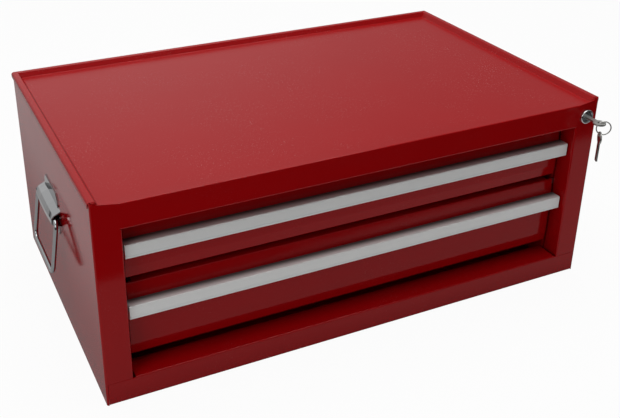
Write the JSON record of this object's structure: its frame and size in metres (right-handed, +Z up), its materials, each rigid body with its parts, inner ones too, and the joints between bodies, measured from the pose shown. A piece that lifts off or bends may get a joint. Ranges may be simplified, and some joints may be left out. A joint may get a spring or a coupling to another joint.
{
  "type": "top tool chest",
  "caption": "Red sheet-steel top tool chest: tray top rimmed on three sides, a shallow and a deep drawer on ball slides, full-width aluminium pulls, key lock and chrome bail side handles.",
  "frame": {"origin": "centre of the underside, on the surface that the chest stands on", "axes": "+X to the right as seen from the front, +Y to the back, +Z up; the drawers open towards -Y"},
  "size_m": [0.7014, 0.4352, 0.258],
  "materials": {
    "red_paint": "glossy baked enamel",
    "pull_aluminium": "satin extrusion",
    "slide_steel": "bright zinc plate, lightly oiled",
    "plated_steel": "zinc plate",
    "chrome_plate": "polished chrome plate",
    "key_steel": "polished nickel plate"
  },
  "bodies": {
    "case": {"case_wrap": "red_paint", "top_tray": "red_paint", "back_panel": "red_paint", "bottom_panel": "red_paint", "bottom_rail": "red_paint", "front_post_left": "red_paint", "front_post_right": "red_paint", "rear_post_left": "red_paint", "rear_post_right": "red_paint", "upper_outer_slide_right": "slide_steel", "upper_outer_slide_left": "slide_steel", "lower_outer_slide_right": "slide_steel", "lower_outer_slide_left": "slide_steel", "slide_rivets": "plated_steel", "lock_housing": "chrome_plate", "lock_nut": "plated_steel", "lock_bar_guides": "plated_steel", "handle_bracket_right": "chrome_plate", "handle_bracket_left": "chrome_plate"},
    "upper_drawer": {"upper_drawer_front": "red_paint", "upper_drawer_floor": "red_paint", "upper_drawer_side_right": "red_paint", "upper_drawer_side_left": "red_paint", "upper_drawer_back": "red_paint", "upper_pull": "pull_aluminium", "upper_pull_screws": "plated_steel", "upper_lock_catch": "plated_steel", "upper_inner_slide_right": "slide_steel", "upper_inner_slide_left": "slide_steel", "upper_drawer_rivets": "plated_steel"},
    "upper_middle_slides": {"upper_middle_slide_right": "slide_steel", "upper_middle_slide_left": "slide_steel"},
    "upper_outer_cages": {"upper_outer_ball_cages": "slide_steel"},
    "upper_inner_cages": {"upper_inner_ball_cages": "slide_steel"},
    "lower_drawer": {"lower_drawer_front": "red_paint", "lower_drawer_floor": "red_paint", "lower_drawer_side_right": "red_paint", "lower_drawer_side_left": "red_paint", "lower_drawer_back": "red_paint", "lower_pull": "pull_aluminium", "lower_pull_screws": "plated_steel", "lower_lock_catch": "plated_steel", "lower_inner_slide_right": "slide_steel", "lower_inner_slide_left": "slide_steel", "lower_drawer_rivets": "plated_steel"},
    "lower_middle_slides": {"lower_middle_slide_right": "slide_steel", "lower_middle_slide_left": "slide_steel"},
    "lower_outer_cages": {"lower_outer_ball_cages": "slide_steel"},
    "lower_inner_cages": {"lower_inner_ball_cages": "slide_steel"},
    "lock_plug": {"lock_plug": "chrome_plate", "lock_cam": "plated_steel", "cam_screw": "plated_steel"},
    "key": {"key": "key_steel"},
    "key_ring": {"key_ring": "key_steel"},
    "spare_key": {"spare_key": "key_steel"},
    "lock_bar": {"lock_bar": "plated_steel"},
    "right_bail": {"handle_bail_right": "chrome_plate"},
    "left_bail": {"handle_bail_left": "chrome_plate"}
  },
  "joints": [
    {"name": "upper_drawer_slide", "type": "slide", "parent": "case", "child": "upper_drawer", "axis": [0, -1, 0], "range_m": [0, 0.35]},
    {"name": "upper_middle_slides_slide", "type": "slide", "parent": "case", "child": "upper_middle_slides", "axis": [0, -1, 0], "range_m": [0, 0.175]},
    {"name": "upper_outer_cages_slide", "type": "slide", "parent": "case", "child": "upper_outer_cages", "axis": [0, -1, 0], "range_m": [0, 0.0875]},
    {"name": "upper_inner_cages_slide", "type": "slide", "parent": "case", "child": "upper_inner_cages", "axis": [0, -1, 0], "range_m": [0, 0.2625]},
    {"name": "lower_drawer_slide", "type": "slide", "parent": "case", "child": "lower_drawer", "axis": [0, -1, 0], "range_m": [0, 0.35]},
    {"name": "lower_middle_slides_slide", "type": "slide", "parent": "case", "child": "lower_middle_slides", "axis": [0, -1, 0], "range_m": [0, 0.175]},
    {"name": "lower_outer_cages_slide", "type": "slide", "parent": "case", "child": "lower_outer_cages", "axis": [0, -1, 0], "range_m": [0, 0.0875]},
    {"name": "lower_inner_cages_slide", "type": "slide", "parent": "case", "child": "lower_inner_cages", "axis": [0, -1, 0], "range_m": [0, 0.2625]},
    {"name": "lock_turn", "type": "hinge", "parent": "case", "child": "lock_plug", "pos_m": [0.312, -0.199, 0.2347], "axis": [0, -1, 0], "range_deg": [0, 90]},
    {"name": "lock_bar_drop", "type": "slide", "parent": "case", "child": "lock_bar", "axis": [0, 0, -1], "range_m": [0, 0.0099]},
    {"name": "key_pull", "type": "slide", "parent": "lock_plug", "child": "key", "axis": [0, -1, 0], "range_m": [0, 0.025]},
    {"name": "ring_swing", "type": "hinge", "parent": "key", "child": "key_ring", "pos_m": [0.3172, -0.2265, 0.2347], "axis": [0.866, -0.5, 0], "range_deg": [-30, 30]},
    {"name": "spare_key_swing", "type": "hinge", "parent": "key_ring", "child": "spare_key", "pos_m": [0.31456, -0.22498, 0.21924], "axis": [0.866, -0.5, 0], "range_deg": [-30, 30]},
    {"name": "right_bail_lift", "type": "hinge", "parent": "case", "child": "right_bail", "pos_m": [0.3375, 0, 0.157], "axis": [0, -1, 0], "range_deg": [0, 97]},
    {"name": "left_bail_lift", "type": "hinge", "parent": "case", "child": "left_bail", "pos_m": [-0.3375, 0, 0.157], "axis": [0, 1, 0], "range_deg": [0, 97]}
  ],
  "couplings": [
    {"joint": "upper_middle_slides_slide", "follows": "upper_drawer_slide", "ratio": 0.5},
    {"joint": "upper_outer_cages_slide", "follows": "upper_drawer_slide", "ratio": 0.25},
    {"joint": "upper_inner_cages_slide", "follows": "upper_drawer_slide", "ratio": 0.75},
    {"joint": "lower_middle_slides_slide", "follows": "lower_drawer_slide", "ratio": 0.5},
    {"joint": "lower_outer_cages_slide", "follows": "lower_drawer_slide", "ratio": 0.25},
    {"joint": "lower_inner_cages_slide", "follows": "lower_drawer_slide", "ratio": 0.75},
    {"joint": "lock_bar_drop", "follows": "lock_turn", "m_per_rad": 0.0063022}
  ]
}
